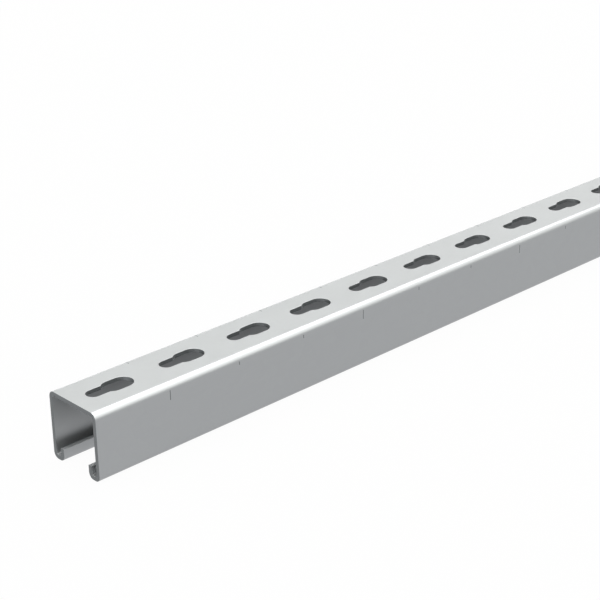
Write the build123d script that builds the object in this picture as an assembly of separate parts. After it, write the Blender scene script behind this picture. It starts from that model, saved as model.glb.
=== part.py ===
"""Slotted strut channel: one roll-formed, punched steel section, cut to a stock length.

Frame: X runs along the channel, Y across it and Z up. The origin is on the floor, under the
middle of the channel. The channel lies with its open side down, on its two inturned lips.
"""
from build123d import *
import os

# ---- the section (millimetres) ----
WIDTH = 41.0  # over the outer faces of the two flanges
HEIGHT = 41.0  # from the undersides of the lips to the back of the web
SHEET = 2.5  # steel strip thickness
MOUTH = 22.5  # open width between the two lips
LIP_HEIGHT = 7.7  # from the underside of a lip to its sheared tip
WEB_BEND = 1.3  # inside radius of the bends between web and flanges
LIP_BEND = 1.0  # inside radius of the two bends in each lip

# ---- the stock length ----
LENGTH = 2000.0

# ---- the row of keyhole slots along the web ----
SLOT_PITCH = 50.0  # from one slot to the next
END_TO_SLOT = 25.0  # least distance from a cut end to the middle of the first slot
SLOT_LENGTH = 30.0  # over both ends of a keyhole
NARROW_WIDTH = 9.0  # the neck, at the -X end of each keyhole
WIDE_WIDTH = 13.0  # the head, at the +X end
WIDE_LENGTH = 19.5  # from the shoulders of the head to its far end


def strip_face() -> Face:
    """The section: the strip's outer line with its six bends, thickened inwards."""
    side = WIDTH / 2
    lip_face = MOUTH / 2
    lip_corner = LIP_BEND + SHEET
    web_corner = WEB_BEND + SHEET
    outline = FilletPolyline(
        (-lip_face, LIP_HEIGHT),
        (-lip_face, 0),
        (-side, 0),
        (-side, HEIGHT),
        (side, HEIGHT),
        (side, 0),
        (lip_face, 0),
        (lip_face, LIP_HEIGHT),
        radius=[lip_corner, lip_corner, web_corner, web_corner, lip_corner, lip_corner],
    )
    return make_face(offset(outline, amount=SHEET, side=Side.RIGHT))


def keyhole() -> Sketch:
    """One slot: a narrow neck that opens into a wider head towards +X."""
    neck = SlotOverall(SLOT_LENGTH, NARROW_WIDTH)
    head = SlotOverall(WIDE_LENGTH, WIDE_WIDTH)
    return neck + Pos((SLOT_LENGTH - WIDE_LENGTH) / 2, 0) * head


def slot_tools() -> Part:
    """The punches: one keyhole prism at each place of the row, through the web alone."""
    count = int((LENGTH - 2 * END_TO_SLOT) // SLOT_PITCH) + 1
    row = Sketch() + GridLocations(SLOT_PITCH, 0, count, 1) * keyhole()
    web_middle = Plane.XY.offset(HEIGHT - SHEET / 2)
    return extrude(web_middle * row, amount=SHEET, both=True)


def strut_channel() -> Part:
    """The formed section at its full length, with the slots punched out of the web."""
    section = Plane.YZ * strip_face()
    return extrude(section, amount=LENGTH / 2, both=True) - slot_tools()


os.makedirs("parts", exist_ok=True)
channel = strut_channel()
channel.label = "strut_channel"
export_step(channel, "parts/strut_channel.step")
print("volume", round(channel.volume / 1000, 2), "cm3", "faces", len(channel.faces()))
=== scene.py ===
"""The looks of a slotted strut channel: a galvanised steel strip, punched and roll-formed.

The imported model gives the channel's length, width and height and the place of its slots. The
channel is modelled again here as a finer skin, formed as the real one is: one pitch of the strip
with its keyhole, both sides bent round, repeated along the length and given its thickness. Then
comes what the solid leaves out: the broken edges of the cuts and the scribed length marks.
"""

import logging
import math
from collections.abc import Callable
from dataclasses import dataclass, field
from enum import Enum, IntEnum

import bmesh
import bpy
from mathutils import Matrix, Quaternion, Vector

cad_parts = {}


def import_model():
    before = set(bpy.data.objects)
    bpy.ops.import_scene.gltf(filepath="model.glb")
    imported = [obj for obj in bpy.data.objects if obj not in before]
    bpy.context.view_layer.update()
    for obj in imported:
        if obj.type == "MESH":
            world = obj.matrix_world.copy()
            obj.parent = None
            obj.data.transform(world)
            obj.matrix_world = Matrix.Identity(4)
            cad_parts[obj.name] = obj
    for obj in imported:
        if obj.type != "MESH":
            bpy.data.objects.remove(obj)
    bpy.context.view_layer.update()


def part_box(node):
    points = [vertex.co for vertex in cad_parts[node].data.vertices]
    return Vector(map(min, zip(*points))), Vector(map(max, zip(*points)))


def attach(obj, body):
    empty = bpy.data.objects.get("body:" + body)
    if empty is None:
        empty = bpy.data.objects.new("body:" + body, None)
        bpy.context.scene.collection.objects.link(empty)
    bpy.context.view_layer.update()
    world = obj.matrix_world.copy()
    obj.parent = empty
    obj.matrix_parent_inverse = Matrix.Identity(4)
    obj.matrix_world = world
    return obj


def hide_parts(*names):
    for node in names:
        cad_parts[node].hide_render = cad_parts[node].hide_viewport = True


LOG = logging.getLogger("strut_channel")
MM = 0.001  # metres in a millimetre
NODE = "strut_channel"
BODY = "root"
QUARTER_TURN = math.pi / 2
MERGE_MM = 0.005  # points nearer than this are one point


class Level(Enum):
    """What a selection in edit mode is made of."""

    POINTS = "VERT"
    EDGES = "EDGE"
    FACES = "FACE"


class Side(IntEnum):
    """The two sides of the channel, as the sign of Y."""

    NEAR = -1
    FAR = 1


class Surface(IntEnum):
    """The channel's finishes, in the order of its material slots."""

    ZINC = 0
    ZINC_INSIDE = 1
    PUNCHED = 2
    SAWN = 3
    SCRIBED = 4


# ---------------------------------------------------------------- small tools


def linear(hex_colour: str) -> tuple[float, float, float, float]:
    """Turn an sRGB colour into the linear one that Blender works in.

    Args:
        hex_colour: The colour as "#RRGGBB".

    Returns:
        Linear red, green, blue and an alpha of 1.
    """
    shares = [int(hex_colour[i : i + 2], 16) / 255 for i in (1, 3, 5)]
    red, green, blue = (s / 12.92 if s <= 0.04045 else ((s + 0.055) / 1.055) ** 2.4 for s in shares)
    return red, green, blue, 1.0


def add_node(
    tree: bpy.types.NodeTree,
    kind: str,
    settings: dict[str, object] | None = None,
    inputs: dict[str | int, object] | None = None,
) -> bpy.types.Node:
    """Add a node, with its settings, its values and its links.

    Args:
        tree: The node tree that gets it.
        kind: The node's type, such as "ShaderNodeBump".
        settings: Properties of the node itself.
        inputs: A value or an output socket for each input, by the input's name or number.

    Returns:
        The new node.
    """
    node = tree.nodes.new(kind)
    for name, value in (settings or {}).items():
        setattr(node, name, value)
    for name, value in (inputs or {}).items():
        if isinstance(value, bpy.types.NodeSocket):
            tree.links.new(value, node.inputs[name])
        else:
            node.inputs[name].default_value = value
    return node


def new_material(name: str) -> tuple[bpy.types.Material, bpy.types.NodeTree, bpy.types.NodeSocket]:
    """Start a material with an empty tree.

    Args:
        name: The material's name.

    Returns:
        The material, its tree, and the Object coordinates that its patterns read.
    """
    material = bpy.data.materials.new(name)
    material.use_nodes = True
    tree = material.node_tree
    tree.nodes.clear()
    place = add_node(tree, "ShaderNodeTexCoord").outputs["Object"]
    return material, tree, place


def select(obj: bpy.types.Object, level: Level, wanted: Callable[[Vector], bool]) -> None:
    """Select, in edit mode, what lies where it is wanted, and nothing else.

    Args:
        obj: The mesh that is in edit mode.
        level: Whether points, edges or faces are selected.
        wanted: Says of a place in metres whether what is there is wanted. An edge or a face
            counts where all its points do.
    """
    bpy.ops.mesh.select_mode(type=level.value)
    bpy.ops.mesh.select_all(action="DESELECT")
    mesh = bmesh.from_edit_mesh(obj.data)
    points = {v: wanted(v.co) for v in mesh.verts}
    if level is Level.POINTS:
        chosen = [v for v in mesh.verts if points[v]]
    elif level is Level.EDGES:
        chosen = [e for e in mesh.edges if all(points[v] for v in e.verts)]
    else:
        chosen = [f for f in mesh.faces if all(points[v] for v in f.verts)]
    for element in chosen:
        element.select_set(True)
    bmesh.update_edit_mesh(obj.data)


def apply_modifier(obj: bpy.types.Object, kind: str, **settings: object) -> None:
    """Add a modifier and apply it at once.

    Args:
        obj: The mesh object, which is the active one.
        kind: The modifier's type, such as "SOLIDIFY".
        settings: The modifier's properties.
    """
    modifier = obj.modifiers.new(kind.title(), kind)
    for name, value in settings.items():
        setattr(modifier, name, value)
    bpy.ops.object.modifier_apply(modifier=modifier.name)


def same(one: float, other: float) -> bool:
    """Say whether two lengths in metres are the same, but for rounding."""
    return abs(one - other) < MERGE_MM * MM


@dataclass
class Pen:
    """Draws on from what is selected: straight on by extrude, round a corner by spin.

    Attributes:
        at: Where the pen is, in metres.
        heading: Which way it goes on, of length 1.
        axis: The normal of the plane that it draws in.
    """

    at: Vector
    heading: Vector
    axis: Vector

    def straight(self, length_mm: float) -> None:
        """Extrude straight on by a length in millimetres."""
        step = self.heading * length_mm * MM
        bpy.ops.mesh.extrude_region_move(TRANSFORM_OT_translate={"value": step})
        self.at = self.at + step

    def turn(self, angle: float) -> None:
        """Turn on the spot, by the right-hand rule about the axis."""
        self.heading = Quaternion(self.axis, angle) @ self.heading

    def arc(self, radius_mm: float, angle: float, steps: int) -> None:
        """Spin round an arc that starts along the heading.

        Args:
            radius_mm: The arc's radius.
            angle: How far round, by the right-hand rule about the axis.
            steps: How many straight edges stand for the arc.
        """
        inward = self.axis.cross(self.heading) * math.copysign(radius_mm * MM, angle)
        centre = self.at + inward
        # the spin operator counts its angle by the left-hand rule
        bpy.ops.mesh.spin(steps=steps, angle=-angle, center=centre, axis=self.axis)
        self.at = centre - Quaternion(self.axis, angle) @ inward
        self.turn(angle)


# ---------------------------------------------------------------- finishes


@dataclass(frozen=True)
class ZincCoat:
    """Steel strip galvanised in a continuous bath, then skin-passed between smooth rolls."""

    name: str = "galvanised_steel_skin_passed"
    colour: str = "#9C9EA0"
    colour_of_other_crystals: str = "#989A9C"
    roughness: float = 0.38
    roughness_spread: float = 0.05
    crystal_mm: float = 6.0
    cloud_mm: float = 70.0
    grain_across_mm: float = 0.5  # real rolling grain is finer; drawn this wide so that it shows
    grain_along_mm: float = 45.0
    grain_depth_mm: float = 0.004

    def material(self) -> bpy.types.Material:
        """Make the material."""
        # A pale satin grey, hardly blue. The rolls flattened the zinc's crystals to a faint
        # mottle and left a fine grain along the strip.
        material, tree, place = new_material(self.name)
        crystals = add_node(
            tree,
            "ShaderNodeTexVoronoi",
            {"feature": "F1"},
            {"Vector": place, "Scale": 1 / (self.crystal_mm * MM), "Randomness": 1.0},
        )
        crystal = add_node(
            tree, "ShaderNodeSeparateColor", inputs={"Color": crystals.outputs["Color"]}
        )
        clouds = add_node(
            tree,
            "ShaderNodeTexNoise",
            inputs={"Vector": place, "Scale": 1 / (self.cloud_mm * MM), "Detail": 3.0},
        )
        across = 1 / (self.grain_across_mm * MM)
        stretched = add_node(
            tree,
            "ShaderNodeMapping",
            inputs={"Vector": place, "Scale": (1 / (self.grain_along_mm * MM), across, across)},
        )
        grain = add_node(
            tree,
            "ShaderNodeTexNoise",
            inputs={"Vector": stretched.outputs["Vector"], "Scale": 1.0, "Detail": 3.0},
        )
        mottle = clouds.outputs["Fac"]
        for pattern in (crystal.outputs["Red"], grain.outputs["Fac"]):
            mottle = add_node(
                tree, "ShaderNodeMix", inputs={"Factor": 0.5, "A": mottle, "B": pattern}
            ).outputs["Result"]
        colour = add_node(
            tree,
            "ShaderNodeMix",
            {"data_type": "RGBA"},
            {"Factor": mottle, 6: linear(self.colour), 7: linear(self.colour_of_other_crystals)},
        )
        roughness = add_node(
            tree,
            "ShaderNodeMapRange",
            inputs={
                "Value": mottle,
                "To Min": self.roughness - self.roughness_spread,
                "To Max": self.roughness + self.roughness_spread,
            },
        )
        bump = add_node(
            tree,
            "ShaderNodeBump",
            inputs={"Height": grain.outputs["Fac"], "Distance": self.grain_depth_mm * MM},
        )
        shader = add_node(
            tree,
            "ShaderNodeBsdfPrincipled",
            inputs={
                "Base Color": colour.outputs[2],
                "Metallic": 1.0,
                "Roughness": roughness.outputs["Result"],
                "Normal": bump.outputs["Normal"],
            },
        )
        add_node(tree, "ShaderNodeOutputMaterial", inputs={"Surface": shader.outputs["BSDF"]})
        return material


# The inside is the same zinc, painted paler than the outside and given a rougher finish. The paler
# colour is painted light that fills the shade inside the channel.
INSIDE_COAT_PAINTED_LIGHTER = ZincCoat(
    name="galvanised_steel_inside_painted_lighter",
    colour="#A6A8AA",
    colour_of_other_crystals="#A2A4A6",
    roughness=0.46,
)


@dataclass(frozen=True)
class CutSteel:
    """Steel laid bare by a cut made after the strip was galvanised."""

    name: str = "bare_steel_sawn_painted_darker"
    # the default tone is the sawn end's, painted darker than a slot's walls as painted shade
    colour: str = "#6F7274"
    colour_in_lines: str = "#5C5F61"
    roughness: float = 0.5
    line_mm: float = 0.5  # real saw marks are finer; drawn this wide so that they show
    line_length_mm: float = 5.0
    line_depth_mm: float = 0.01

    def material(self) -> bpy.types.Material:
        """Make the material."""
        # Darker and rougher than the zinc, with fine lines the way the tool went down.
        material, tree, place = new_material(self.name)
        across = 1 / (self.line_mm * MM)
        stretched = add_node(
            tree,
            "ShaderNodeMapping",
            inputs={"Vector": place, "Scale": (across, across, 1 / (self.line_length_mm * MM))},
        )
        lines = add_node(
            tree,
            "ShaderNodeTexNoise",
            inputs={"Vector": stretched.outputs["Vector"], "Scale": 1.0, "Detail": 2.0},
        )
        colour = add_node(
            tree,
            "ShaderNodeMix",
            {"data_type": "RGBA"},
            {
                "Factor": lines.outputs["Fac"],
                6: linear(self.colour),
                7: linear(self.colour_in_lines),
            },
        )
        bump = add_node(
            tree,
            "ShaderNodeBump",
            inputs={"Height": lines.outputs["Fac"], "Distance": self.line_depth_mm * MM},
        )
        shader = add_node(
            tree,
            "ShaderNodeBsdfPrincipled",
            inputs={
                "Base Color": colour.outputs[2],
                "Metallic": 1.0,
                "Roughness": self.roughness,
                "Normal": bump.outputs["Normal"],
            },
        )
        add_node(tree, "ShaderNodeOutputMaterial", inputs={"Surface": shader.outputs["BSDF"]})
        return material


# A slot's walls are the same bare steel as a sawn end. The sawn ends are painted darker than the
# walls, as painted shade on the ends.
PUNCHED_STEEL = CutSteel(
    name="bare_steel_punched",
    colour="#797C7E",
    colour_in_lines="#686B6D",
)


@dataclass(frozen=True)
class ScribedSteel:
    """The floor of a length mark, scribed through the zinc."""

    colour: str = "#5E6163"
    colour_of_rough_spots: str = "#686B6D"
    roughness: float = 0.6
    spot_mm: float = 0.8

    def material(self) -> bpy.types.Material:
        """Make the material."""
        # The point tore the zinc away, so the line looks dark and dull.
        material, tree, place = new_material("bare_steel_scribed")
        spots = add_node(
            tree,
            "ShaderNodeTexNoise",
            inputs={"Vector": place, "Scale": 1 / (self.spot_mm * MM), "Detail": 2.0},
        )
        colour = add_node(
            tree,
            "ShaderNodeMix",
            {"data_type": "RGBA"},
            {
                "Factor": spots.outputs["Fac"],
                6: linear(self.colour),
                7: linear(self.colour_of_rough_spots),
            },
        )
        shader = add_node(
            tree,
            "ShaderNodeBsdfPrincipled",
            inputs={
                "Base Color": colour.outputs[2],
                "Metallic": 1.0,
                "Roughness": self.roughness,
            },
        )
        add_node(tree, "ShaderNodeOutputMaterial", inputs={"Surface": shader.outputs["BSDF"]})
        return material


@dataclass(frozen=True)
class LightTable:
    """Opal acrylic, lit evenly from below, that the channel lies on."""

    colour: str = "#161616"
    roughness: float = 0.95
    glow: str = "#FFFFFF"
    glow_brightness: float = 0.965

    def material(self) -> bpy.types.Material:
        """Make the material."""
        # Nearly pure white all over. The light from below fills the shade under the channel.
        material, tree, _ = new_material("opal_acrylic_lit")
        shader = add_node(
            tree,
            "ShaderNodeBsdfPrincipled",
            inputs={
                "Base Color": linear(self.colour),
                "Roughness": self.roughness,
                "Specular IOR Level": 0.0,
                "Emission Color": linear(self.glow),
                "Emission Strength": self.glow_brightness,
            },
        )
        add_node(tree, "ShaderNodeOutputMaterial", inputs={"Surface": shader.outputs["BSDF"]})
        return material


# ---------------------------------------------------------------- the channel


@dataclass(frozen=True)
class Keyhole:
    """One slot of the web, in millimetres: a narrow neck that opens into a wider head."""

    length: float = 30.0
    neck_width: float = 9.0
    head_width: float = 13.0
    head_length: float = 19.5
    steps_on_quarter: int = 8

    def draw(self, pen: Pen) -> None:
        """Trace the outline once round, from the tip of the neck and back to it.

        Args:
            pen: A pen at the tip of the neck, heading along the outline.
        """
        neck, head = self.neck_width / 2, self.head_width / 2
        shoulder = math.acos(neck / head)  # how far the head's arc turns before it meets the neck
        neck_run = self.length - self.head_length + head - head * math.sin(shoulder) - neck
        head_run = self.head_length - self.head_width
        shoulder_steps = round(self.steps_on_quarter * shoulder / QUARTER_TURN)
        pen.arc(neck, QUARTER_TURN, self.steps_on_quarter)
        pen.straight(neck_run)
        pen.turn(-shoulder)
        pen.arc(head, shoulder, shoulder_steps)
        pen.straight(head_run)
        pen.arc(head, 2 * QUARTER_TURN, 2 * self.steps_on_quarter)
        pen.straight(head_run)
        pen.arc(head, shoulder, shoulder_steps)
        pen.turn(-shoulder)
        pen.straight(neck_run)
        pen.arc(neck, QUARTER_TURN, self.steps_on_quarter)


@dataclass(frozen=True)
class LengthMarks:
    """The scribed marks over both upper bends, one between each two slots, in millimetres."""

    width: float = 0.55
    depth: float = 0.045
    runout: float = 0.2  # over this length a mark gets its depth
    onto_web: float = 1.4  # from the bend's tangent to the tip on the web
    short_drop: float = 5.8  # from the web's outer face down to the tip of a short mark
    long_drop: float = 9.6
    long_every: int = 3  # the first mark is long, and each one this many on
    torn_over_bend: tuple[Side, ...] = (Side.FAR,)  # the near bend's zinc is only pressed in

    def drop(self, number: int) -> float:
        """Say how far down a mark goes, by its number along the channel from 0."""
        return self.short_drop if number % self.long_every else self.long_drop


@dataclass
class StrutChannel:
    """The channel itself, as one skin of steel with its thickness.

    Attributes:
        low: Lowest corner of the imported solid, in metres.
        high: Its highest corner.
        pitch: From one slot to the next, in millimetres.
        sheet: The strip's thickness.
        mouth: The open width between the lips.
        lip_height: From the underside of a lip to its tip.
        web_bend: Outside radius of the bends beside the web.
        lip_bend: Outside radius of the bends in the lips.
        edge_break: How far a cut edge is rounded over.
        edge_steps: How many faces stand for that round.
        least_edge: Only an edge where two faces turn by more than this, in radians, is broken.
        steps_on_web_bend: How many faces stand for a bend beside the web.
        steps_on_lip_bend: How many stand for a bend in a lip.
        steps_along_pitch: Into how many lengths a pitch is divided.
        steps_across_web: Into how many widths the web is divided.
        crease: Where two faces turn by more than this, in radians, the edge stays sharp.
        keyhole: The slot.
        marks: The scribed length marks.
    """

    low: Vector
    high: Vector
    pitch: float = 50.0
    sheet: float = 2.5
    mouth: float = 22.5
    lip_height: float = 7.7
    web_bend: float = 3.8
    lip_bend: float = 3.5
    edge_break: float = 0.12
    edge_steps: int = 3
    least_edge: float = math.radians(60)
    steps_on_web_bend: int = 8
    steps_on_lip_bend: int = 6
    steps_along_pitch: int = 10
    steps_across_web: int = 6
    crease: float = math.radians(38)
    keyhole: Keyhole = field(default_factory=Keyhole)
    marks: LengthMarks = field(default_factory=LengthMarks)

    @property
    def width(self) -> float:
        """Over both flanges, in millimetres."""
        return (self.high.y - self.low.y) / MM

    @property
    def height(self) -> float:
        """From the lips to the back of the web, in millimetres."""
        return (self.high.z - self.low.z) / MM

    @property
    def mark_start(self) -> float:
        """From a flange's outer face to the marks' tips on the web, in millimetres."""
        return self.web_bend + self.marks.onto_web

    @property
    def repeats(self) -> int:
        """How many pitches the channel is long."""
        return round((self.high.x - self.low.x) / MM / self.pitch)

    def build(self) -> bpy.types.Object:
        """Model the channel and dress it.

        Returns:
            The finished mesh object, with its place in its mesh.
        """
        channel = self._punched_web()
        for side in Side:
            self._form(channel, side)
        self._face_outwards(channel)
        self._dress(channel)
        self._repeat_and_thicken(channel)
        self._finish_cuts(channel)
        self._scribe(channel)
        self._smooth(channel)
        return channel

    def _punched_web(self) -> bpy.types.Object:
        """Make the flat web of the first pitch, with its keyhole, and stay in edit mode.

        Returns:
            The new mesh object.
        """
        tip = Vector((self.low.x + (self.pitch - self.keyhole.length) / 2 * MM, 0, self.high.z))
        bpy.ops.mesh.primitive_plane_add(size=self.sheet * MM, enter_editmode=True)
        channel = bpy.context.object
        channel.name = channel.data.name = "strut_channel_formed"
        bpy.ops.mesh.merge(type="CENTER")
        bpy.ops.transform.translate(value=tip)
        self.keyhole.draw(Pen(tip, Vector((0, -1, 0)), Vector((0, 0, 1))))
        self._outline_round_keyhole(channel)
        bpy.ops.mesh.select_all(action="SELECT")
        bpy.ops.mesh.remove_doubles(threshold=MERGE_MM * MM)
        bpy.ops.mesh.bridge_edge_loops()
        self._widen_to_full_pitch(channel)
        return channel

    def _outline_round_keyhole(self, channel: bpy.types.Object) -> None:
        """Add the rectangle that the keyhole sits in, as a closed row of edges.

        Args:
            channel: The mesh that is in edit mode.
        """
        middle = Vector((self.low.x + self.pitch / 2 * MM, 0, self.high.z))
        size = Vector((self.pitch - self.marks.width, self.width - 2 * self.mark_start, 0)) * MM
        bpy.ops.mesh.primitive_plane_add(size=1, location=middle)
        bpy.ops.transform.resize(value=(size.x, size.y, 1), center_override=middle)
        bpy.ops.mesh.delete(type="ONLY_FACE")
        for cuts, direction, reach in (
            (self.steps_along_pitch - 1, Vector((0, 1, 0)), size.y / 2),
            (self.steps_across_web - 1, Vector((1, 0, 0)), size.x / 2),
        ):
            for way in (direction, -direction):
                select(channel, Level.EDGES, lambda p: same((p - middle).dot(way), reach))
                bpy.ops.mesh.subdivide(number_cuts=cuts)

    def _widen_to_full_pitch(self, channel: bpy.types.Object) -> None:
        """Add half a mark's width of web at both ends, so that a mark has points of its own.

        Args:
            channel: The mesh that is in edit mode.
        """
        half_mark = self.marks.width / 2 * MM
        for end, way in ((self.low.x, -1), (self.low.x + self.pitch * MM, 1)):
            select(channel, Level.EDGES, lambda p: same(p.x, end - way * half_mark))
            bpy.ops.mesh.extrude_region_move(
                TRANSFORM_OT_translate={"value": (way * half_mark, 0, 0)}
            )

    def _form(self, channel: bpy.types.Object, side: Side) -> None:
        """Carry one side on from the web: over the bend, down the flange and round the lip.

        Args:
            channel: The mesh that is in edit mode.
            side: Which side is formed.
        """
        marks = self.marks
        edge = (self.width / 2 - self.mark_start) * MM
        select(channel, Level.EDGES, lambda p: same(p.y, side * edge))
        pen = Pen(Vector((0, side * edge, self.high.z)), Vector((0, side, 0)), Vector((1, 0, 0)))
        inward = -side * QUARTER_TURN
        pen.straight(marks.runout)
        pen.straight(marks.onto_web - marks.runout)
        pen.arc(self.web_bend, inward, self.steps_on_web_bend)
        drops = [self.web_bend]
        for tip in (marks.short_drop, marks.long_drop):
            drops += [tip - marks.runout, tip]
        drops.append(self.height - self.lip_bend)
        for start, stop in zip(drops, drops[1:]):
            pen.straight(stop - start)
        pen.arc(self.lip_bend, inward, self.steps_on_lip_bend)
        pen.straight((self.width - self.mouth) / 2 - 2 * self.lip_bend)
        pen.arc(self.lip_bend, inward, self.steps_on_lip_bend)
        pen.straight(self.lip_height - self.lip_bend)

    def _face_outwards(self, channel: bpy.types.Object) -> None:
        """Turn all the faces of the open skin outwards, and leave edit mode.

        Args:
            channel: The mesh that is in edit mode.
        """
        bpy.ops.mesh.select_all(action="SELECT")
        bpy.ops.mesh.remove_doubles(threshold=MERGE_MM * MM)
        bpy.ops.mesh.normals_make_consistent(inside=False)
        mesh = bmesh.from_edit_mesh(channel.data)
        highest = max(mesh.faces, key=lambda f: f.calc_center_median().z)
        if highest.normal.z < 0:
            bpy.ops.mesh.flip_normals()
        bpy.ops.object.mode_set(mode="OBJECT")

    def _dress(self, channel: bpy.types.Object) -> None:
        """Give the channel its finishes, in the order of Surface.

        Args:
            channel: The mesh object.
        """
        for finish in (ZincCoat(), INSIDE_COAT_PAINTED_LIGHTER, PUNCHED_STEEL, CutSteel(), ScribedSteel()):
            channel.data.materials.append(finish.material())

    def _repeat_and_thicken(self, channel: bpy.types.Object) -> None:
        """Repeat the pitch along the length, give the skin its thickness and break its edges.

        Args:
            channel: The open skin of one pitch.
        """
        apply_modifier(
            channel,
            "ARRAY",
            count=self.repeats,
            use_relative_offset=False,
            use_constant_offset=True,
            constant_offset_displace=(self.pitch * MM, 0, 0),
            use_merge_vertices=True,
            merge_threshold=MERGE_MM * MM,
        )
        apply_modifier(
            channel,
            "SOLIDIFY",
            thickness=self.sheet * MM,
            offset=-1,
            use_even_offset=True,
            use_quality_normals=True,
            # the inner faces get the paler copy of the zinc: painted light in the channel's shade
            material_offset=Surface.ZINC_INSIDE,
            material_offset_rim=Surface.PUNCHED,
        )
        apply_modifier(
            channel,
            "BEVEL",
            width=self.edge_break * MM,
            segments=self.edge_steps,
            limit_method="ANGLE",
            angle_limit=self.least_edge,
        )

    def _finish_cuts(self, channel: bpy.types.Object) -> None:
        """Give both sawn ends and the slit edges of the strip their finishes.

        Args:
            channel: The channel at its full length and thickness.
        """
        bpy.ops.object.mode_set(mode="EDIT")
        reach = (self.edge_break + MERGE_MM) * MM
        lip_tip = self.low.z + self.lip_height * MM
        lip_back = (self.mouth / 2 + self.sheet) * MM
        for surface, wanted in (
            # the lips' slit edges also get the paler inside zinc: painted light
            (Surface.ZINC_INSIDE, lambda p: abs(p.z - lip_tip) < reach and abs(p.y) < lip_back),
            # the sawn ends get the darker bare steel: painted shade
            (Surface.SAWN, lambda p: min(p.x - self.low.x, self.high.x - p.x) < reach),
        ):
            select(channel, Level.FACES, wanted)
            channel.active_material_index = surface
            bpy.ops.object.material_slot_assign()
        bpy.ops.object.mode_set(mode="OBJECT")

    def _scribe(self, channel: bpy.types.Object) -> None:
        """Cut the length marks into the outer faces.

        Args:
            channel: The channel at its full length and thickness.
        """
        bpy.ops.object.mode_set(mode="EDIT")
        half_mark = self.marks.width / 2 * MM
        select(channel, Level.POINTS, lambda p: self._on_mark(p, 0.0, self.marks.runout))
        bpy.ops.transform.shrink_fatten(value=-self.marks.depth * MM)
        select(
            channel,
            Level.FACES,
            lambda p: self._on_mark(p, half_mark, 0.0) and self._zinc_is_torn(p),
        )
        channel.active_material_index = Surface.SCRIBED
        bpy.ops.object.material_slot_assign()
        bpy.ops.mesh.region_to_loop()
        bpy.ops.mesh.mark_sharp()
        bpy.ops.object.mode_set(mode="OBJECT")

    def _on_mark(self, place: Vector, reach: float, shy: float) -> bool:
        """Say whether a point of the outer skin belongs to a length mark.

        Args:
            place: The point, in metres.
            reach: How far it may lie to either side of the mark's middle, in metres.
            shy: How far short of the mark's tips it has to stay, in millimetres.

        Returns:
            Whether it does.
        """
        # scribing moves a mark's points by up to its depth, and they still have to be found
        moved = self.marks.depth
        along = (place.x - self.low.x) / MM / self.pitch
        number = round(along) - 1
        if not 0 <= number < self.repeats - 1:
            return False
        if abs(along - round(along)) * self.pitch > reach / MM + moved + MERGE_MM:
            return False
        in_from_side = self.width / 2 - abs(place.y) / MM
        down_from_web = (self.high.z - place.z) / MM
        out_of_bend = math.hypot(
            max(self.web_bend - in_from_side, 0.0), max(self.web_bend - down_from_web, 0.0)
        )
        return (
            out_of_bend > self.web_bend - 2 * moved
            and in_from_side < self.mark_start - shy + MERGE_MM
            and down_from_web < self.marks.drop(number) - shy + MERGE_MM
        )

    def _zinc_is_torn(self, place: Vector) -> bool:
        """Say whether a mark at this place is cut through the zinc, down to the steel.

        Args:
            place: The point, in metres.

        Returns:
            Whether it is.
        """
        side = Side.FAR if place.y > 0 else Side.NEAR
        below_bend = (self.high.z - place.z) / MM > self.web_bend - MERGE_MM
        return below_bend or side in self.marks.torn_over_bend

    def _smooth(self, channel: bpy.types.Object) -> None:
        """Shade the bends smooth and keep the flats flat.

        Args:
            channel: The finished mesh.
        """
        bpy.ops.object.shade_smooth_by_angle(angle=self.crease, keep_sharp_edges=True)
        apply_modifier(channel, "WEIGHTED_NORMAL", keep_sharp=True)


# ---------------------------------------------------------------- the studio


@dataclass(frozen=True)
class SoftBox:
    """A large soft studio light.

    Attributes:
        name: Its name.
        at: The middle of its face, in metres from the foot of the channel's near end.
        aim: The point that it faces, likewise.
        width: The width of its face, in metres.
        height: The height of its face.
        brightness: How bright its face is, where 1 is pure white.
    """

    name: str
    at: tuple[float, float, float]
    aim: tuple[float, float, float]
    width: float
    height: float
    brightness: float

    def light(self, foot: Vector) -> None:
        """Put the light up.

        Args:
            foot: The foot of the channel's near end, in metres.
        """
        at, aim = foot + Vector(self.at), foot + Vector(self.aim)
        turn = (aim - at).to_track_quat("-Z", "Y")
        bpy.ops.object.light_add(type="AREA", location=at, rotation=turn.to_euler())
        lamp = bpy.context.object
        lamp.name = lamp.data.name = self.name
        lamp.data.shape = "RECTANGLE"
        lamp.data.size, lamp.data.size_y = self.width, self.height
        lamp.data.energy = math.pi * self.width * self.height * self.brightness


@dataclass(frozen=True)
class Camera:
    """The camera, placed in millimetres from the foot of the channel's near end.

    Attributes:
        lens: Its focal length on a sensor of the standard width.
        at: Where it stands.
        aim: The point in the middle of its view.
        lean: How far it leans to its left, in degrees.
        nearest: The nearest that it sees.
    """

    lens: float = 89.61
    at: tuple[float, float, float] = (-393.85, -590.65, 404.08)
    aim: tuple[float, float, float] = (177.57, 11.23, 41.0)
    lean: float = -0.7075
    nearest: float = 50.0

    def place(self, foot: Vector) -> None:
        """Add the camera and make it the scene's own.

        Args:
            foot: The foot of the channel's near end, in metres.
        """
        at, aim = foot + Vector(self.at) * MM, foot + Vector(self.aim) * MM
        turn = (aim - at).to_track_quat("-Z", "Y")
        turn = turn @ Quaternion((0, 0, 1), math.radians(self.lean))
        bpy.ops.object.camera_add(location=at, rotation=turn.to_euler())
        camera = bpy.context.object
        camera.data.lens = self.lens
        camera.data.clip_start = self.nearest * MM
        bpy.context.scene.camera = camera


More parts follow.
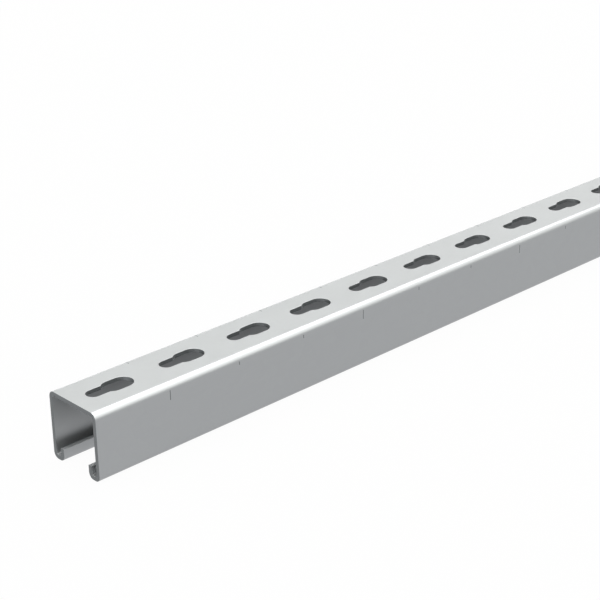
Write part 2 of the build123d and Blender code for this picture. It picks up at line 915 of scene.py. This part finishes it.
@dataclass(frozen=True)
class Studio:
    """The floor, the lights and the camera round the channel.

    Attributes:
        foot: The foot of the channel's near end, in metres.
        floor_size: The side of the square light table, in metres.
        floor_gap: How far under the channel's lips it is, in metres.
        air: The colour of the light from all round.
        dome_axis: Which way the dome is brightest, as a vector that has 1 for its rise.
        horizon_brightness: How bright the dome is at its foot, where 1 is pure white.
        zenith_brightness: How bright it is at its top.
        lights: The soft boxes.
        camera: The camera.
    """

    foot: Vector
    floor_size: float = 40.0
    floor_gap: float = 0.0001
    air: str = "#FFFFFB"
    dome_axis: tuple[float, float, float] = (-0.38, -0.36, 1.0)
    horizon_brightness: float = 1.0
    zenith_brightness: float = 4.3
    lights: tuple[SoftBox, ...] = (
        SoftBox("soft_box_overhead", (3.0, 1.1, 5.0), (3.0, 1.1, 0.0), 7.8, 3.8, 3.2),
        SoftBox("strip_light_behind", (2.7, 5.0, 0.75), (2.7, 0.0, 0.75), 17.0, 1.5, 1.65),
    )
    camera: Camera = Camera()

    def build(self) -> None:
        """Set up everything that isn't the channel."""
        self._floor()
        self._light_the_dome()
        for soft_box in self.lights:
            soft_box.light(self.foot)
        self.camera.place(self.foot)
        bpy.context.scene.view_settings.view_transform = "Standard"

    def _floor(self) -> bpy.types.Object:
        """Lay the light table under the channel.

        Returns:
            The floor object.
        """
        height = self.foot.z - self.floor_gap
        bpy.ops.mesh.primitive_plane_add(size=self.floor_size, location=(0, 0, height))
        floor = bpy.context.object
        floor.name = floor.data.name = "studio_floor"
        floor.data.materials.append(LightTable().material())
        return floor

    def _light_the_dome(self) -> None:
        """Light the scene from all round, evenly brighter from the horizon to straight above."""
        world = bpy.data.worlds.new("studio_dome")
        world.use_nodes = True
        tree = world.node_tree
        tree.nodes.clear()
        way = add_node(tree, "ShaderNodeTexCoord").outputs["Generated"]
        height = add_node(
            tree,
            "ShaderNodeVectorMath",
            {"operation": "DOT_PRODUCT"},
            {0: way, 1: self.dome_axis},
        )
        brightness = add_node(
            tree,
            "ShaderNodeMapRange",
            inputs={
                "Value": height.outputs["Value"],
                "To Min": self.horizon_brightness,
                "To Max": self.zenith_brightness,
            },
        )
        background = add_node(
            tree,
            "ShaderNodeBackground",
            inputs={"Color": linear(self.air), "Strength": brightness.outputs["Result"]},
        )
        add_node(
            tree, "ShaderNodeOutputWorld", inputs={"Surface": background.outputs["Background"]}
        )
        bpy.context.scene.world = world


# ---------------------------------------------------------------- the whole


def report(piece: bpy.types.Object) -> None:
    """Log what a finished piece is made of."""
    mesh = piece.data
    triangles = sum(len(face.vertices) - 2 for face in mesh.polygons)
    LOG.info("%s: %d faces, %d triangles", piece.name, len(mesh.polygons), triangles)


def main() -> None:
    """Build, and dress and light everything."""
    logging.basicConfig(level=logging.INFO, format="%(name)s: %(message)s")
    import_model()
    bpy.ops.object.select_all(action="DESELECT")
    low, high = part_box(NODE)
    channel = StrutChannel(low, high).build()
    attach(channel, BODY)
    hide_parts(NODE)
    report(channel)
    Studio(Vector((low.x, 0, low.z))).build()
    LOG.info("studio: floor, lights and camera are up")


if __name__ == "__main__":
    main()
